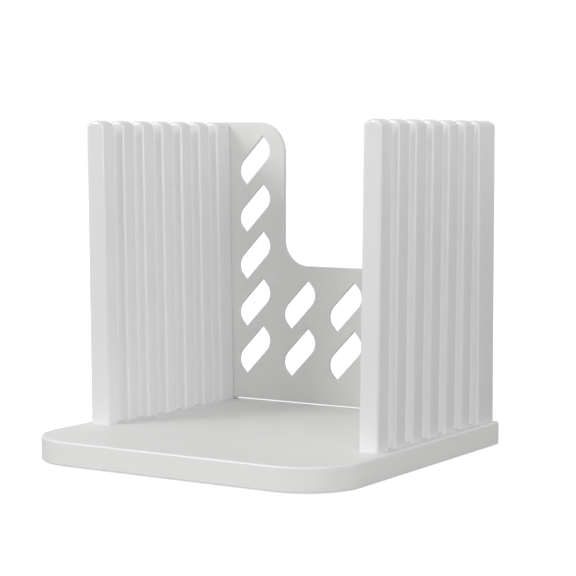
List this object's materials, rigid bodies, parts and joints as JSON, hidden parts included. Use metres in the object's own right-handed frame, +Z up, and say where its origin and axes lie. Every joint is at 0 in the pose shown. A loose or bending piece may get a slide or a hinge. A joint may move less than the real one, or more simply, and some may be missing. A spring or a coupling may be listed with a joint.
{
  "type": "bread slicer guide",
  "caption": "White plastic bread slicer guide: a flat base, two upright slotted combs for the knife and a notched back panel with leaf-shaped holes.",
  "frame": {"origin": "on the table, under the middle of the base plate", "axes": "+X to the right across the loaf, +Y to the back panel along the loaf, +Z up"},
  "size_m": [0.1584, 0.153, 0.1489],
  "materials": {
    "base_plastic": "satin white",
    "comb_plastic": "satin white, slightly translucent",
    "panel_plastic": "satin white",
    "cover_plastic": "fine matt texture",
    "screw_steel": "zinc plated",
    "foot_rubber": "matt grey"
  },
  "bodies": {
    "base": {"base_deck": "base_plastic", "base_bottom_cover": "cover_plastic", "cover_screws": "screw_steel", "foot_front_left": "foot_rubber", "foot_front_right": "foot_rubber", "foot_rear_left": "foot_rubber", "foot_rear_right": "foot_rubber"},
    "left_comb_body": {"left_comb": "comb_plastic"},
    "right_comb_body": {"right_comb": "comb_plastic"},
    "back_panel_body": {"back_panel": "panel_plastic"}
  },
  "joints": [
    {"name": "left_comb_lift", "type": "slide", "parent": "base", "child": "left_comb_body", "axis": [0, 0, 1], "range_m": [0, 0.15]},
    {"name": "right_comb_lift", "type": "slide", "parent": "base", "child": "right_comb_body", "axis": [0, 0, 1], "range_m": [0, 0.15]},
    {"name": "back_panel_lift", "type": "slide", "parent": "base", "child": "back_panel_body", "axis": [0, 0, 1], "range_m": [0, 0.15]}
  ]
}
